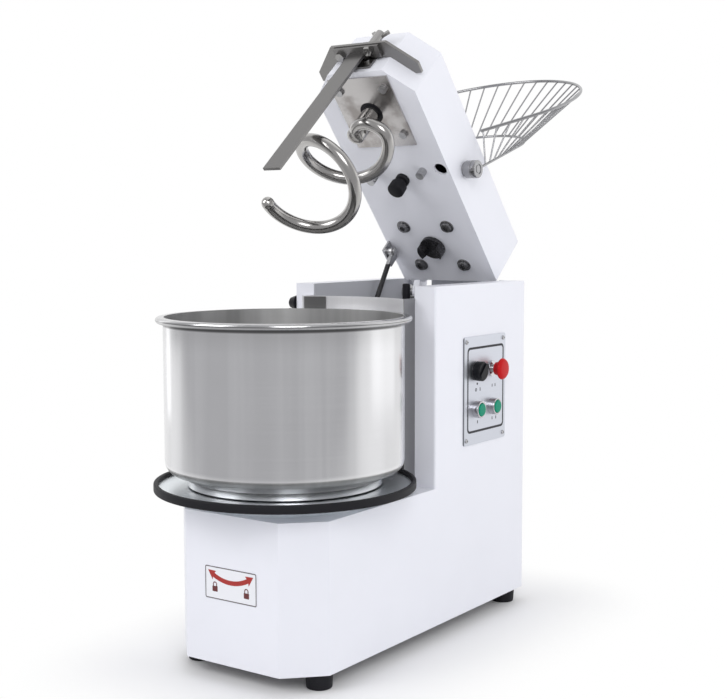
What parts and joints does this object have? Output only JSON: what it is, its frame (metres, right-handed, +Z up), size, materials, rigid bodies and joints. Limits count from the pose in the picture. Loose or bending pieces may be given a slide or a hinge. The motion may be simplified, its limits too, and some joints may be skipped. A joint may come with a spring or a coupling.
{
  "type": "dough mixer",
  "caption": "Spiral dough mixer with a tilting head, folding wire guard, kneading spiral, fixed breaker bar and a removable round bowl on a driven turntable.",
  "frame": {"origin": "on the floor, under the middle of the whole part: midway across the width and midway between the front of the deck and the back of the folded guard", "axes": "+Z up, -Y to the front where the bowl stands, +X to the side with the control panel"},
  "size_m": [0.4387, 1.0544, 1.0783],
  "materials": {
    "white_paint": "satin",
    "black_paint": "gloss",
    "stainless": "brushed",
    "zinc_steel": "satin",
    "steel": "satin",
    "chrome": "polished",
    "aluminium": "satin",
    "cast_iron": "matte",
    "black_rubber": "matte",
    "black_plastic": "satin",
    "red_plastic": "gloss",
    "green_plastic": "gloss"
  },
  "bodies": {
    "frame": {"body_shell": "white_paint", "floor_plate": "zinc_steel", "rubber_feet": "black_rubber", "body_fasteners": "zinc_steel", "rear_cover": "white_paint", "cable_gland": "black_plastic", "front_cover": "stainless", "deck_plate": "stainless", "deck_edge_trim": "black_rubber", "spindle_housing": "cast_iron", "frame_bearings": "steel", "bowl_chain": "steel", "column_plates": "zinc_steel", "gear_motor": "aluminium", "drive_belt": "black_rubber", "hinge_shaft": "steel", "interlock_switch": "black_plastic", "lock_guide": "black_plastic", "strut_anchor": "zinc_steel", "control_panel": "stainless", "control_sockets": "chrome", "label_plate": "aluminium"},
    "turntable": {"bowl_spindle": "steel", "turntable": "stainless"},
    "bowl": {"bowl": "stainless", "bowl_foot_ring": "stainless"},
    "main_drive": {"main_shaft": "steel", "lower_coupling": "cast_iron"},
    "motor_rotor": {"motor_pulley": "cast_iron"},
    "head": {"hinge_arms": "white_paint", "head_shell": "white_paint", "head_underside": "white_paint", "spiral_plate": "stainless", "plate_screws": "zinc_steel", "spiral_seal": "black_rubber", "drive_housings": "cast_iron", "head_chain": "steel", "housing_bolts": "steel", "head_bumper": "black_rubber", "latch_studs": "steel", "strut_bracket": "zinc_steel", "breaker_bracket": "stainless", "breaker_bar": "stainless", "bracket_bolts": "zinc_steel", "guard_pins": "steel"},
    "head_input": {"input_shaft": "steel", "upper_coupling": "black_plastic"},
    "spiral": {"spiral_shaft": "steel", "spiral_hook": "stainless"},
    "guard": {"guard_hubs": "chrome", "guard_rings": "chrome", "guard_wires": "chrome"},
    "head_lock": {"lock_rod": "black_plastic"},
    "gas_spring_tube": {"strut_tube": "black_paint"},
    "gas_spring_rod": {"strut_rod": "steel"},
    "selector": {"selector_knob": "black_plastic"},
    "emergency_stop": {"stop_button": "red_plastic"},
    "start_control": {"start_button": "green_plastic"},
    "jog_control": {"jog_button": "green_plastic"}
  },
  "joints": [
    {"name": "bowl_spin", "type": "hinge", "parent": "frame", "child": "turntable", "pos_m": [0, -0.30783, 0.3], "axis": [0, 0, 1], "continuous": true},
    {"name": "bowl_twist", "type": "hinge", "parent": "turntable", "child": "bowl", "pos_m": [0, -0.30783, 0.318], "axis": [0, 0, 1], "range_deg": [0, 20]},
    {"name": "main_shaft_spin", "type": "hinge", "parent": "frame", "child": "main_drive", "pos_m": [0, 0.11017, 0.4], "axis": [0, 0, 1], "continuous": true},
    {"name": "motor_spin", "type": "hinge", "parent": "frame", "child": "motor_rotor", "pos_m": [0.015, 0.00417, 0.3], "axis": [0, 0, 1], "continuous": true},
    {"name": "head_tilt", "type": "hinge", "parent": "frame", "child": "head", "pos_m": [0, 0.22587, 0.6012], "axis": [-1, 0, 0], "range_deg": [-49.1, 0]},
    {"name": "input_spin", "type": "hinge", "parent": "head", "child": "head_input", "pos_m": [0, 0.15835, 0.69579], "axis": [0, 0.7559, 0.6547], "continuous": true},
    {"name": "spiral_spin", "type": "hinge", "parent": "head", "child": "spiral", "pos_m": [0, -0.05051, 0.93691], "axis": [0, 0.7559, 0.6547], "continuous": true},
    {"name": "guard_swing", "type": "hinge", "parent": "head", "child": "guard", "pos_m": [0, 0.09546, 0.83712], "axis": [-1, 0, 0], "range_deg": [-112.1, 0]},
    {"name": "lock_slide", "type": "slide", "parent": "frame", "child": "head_lock", "axis": [1, 0, 0], "range_m": [0, 0.012]},
    {"name": "strut_swing", "type": "hinge", "parent": "frame", "child": "gas_spring_tube", "pos_m": [-0.092, -0.0194, 0.40063], "axis": [-1, 0, 0], "range_deg": [-0.01, 3.12]},
    {"name": "strut_slide", "type": "slide", "parent": "gas_spring_tube", "child": "gas_spring_rod", "axis": [0, 0.5145, 0.8575], "range_m": [-0.0917, 0]},
    {"name": "selector_turn", "type": "hinge", "parent": "frame", "child": "selector", "pos_m": [0.156, 0.05567, 0.4695], "axis": [1, 0, 0], "range_deg": [-45, 45]},
    {"name": "stop_press", "type": "slide", "parent": "frame", "child": "emergency_stop", "axis": [-1, 0, 0], "range_m": [0, 0.006], "stiffness_N_per_m": 600},
    {"name": "start_press", "type": "slide", "parent": "frame", "child": "start_control", "axis": [-1, 0, 0], "range_m": [0, 0.004], "stiffness_N_per_m": 500},
    {"name": "jog_press", "type": "slide", "parent": "frame", "child": "jog_control", "axis": [-1, 0, 0], "range_m": [0, 0.004], "stiffness_N_per_m": 500}
  ],
  "couplings": [
    {"joint": "main_shaft_spin", "follows": "bowl_spin", "ratio": 4.8},
    {"joint": "motor_spin", "follows": "bowl_spin", "ratio": 10.629},
    {"joint": "input_spin", "follows": "bowl_spin", "ratio": 4.8},
    {"joint": "spiral_spin", "follows": "bowl_spin", "ratio": 4.8},
    {"joint": "strut_swing", "follows": "head_tilt", "ratio": -0.063314},
    {"joint": "strut_slide", "follows": "head_tilt", "m_per_rad": 0.10689}
  ]
}
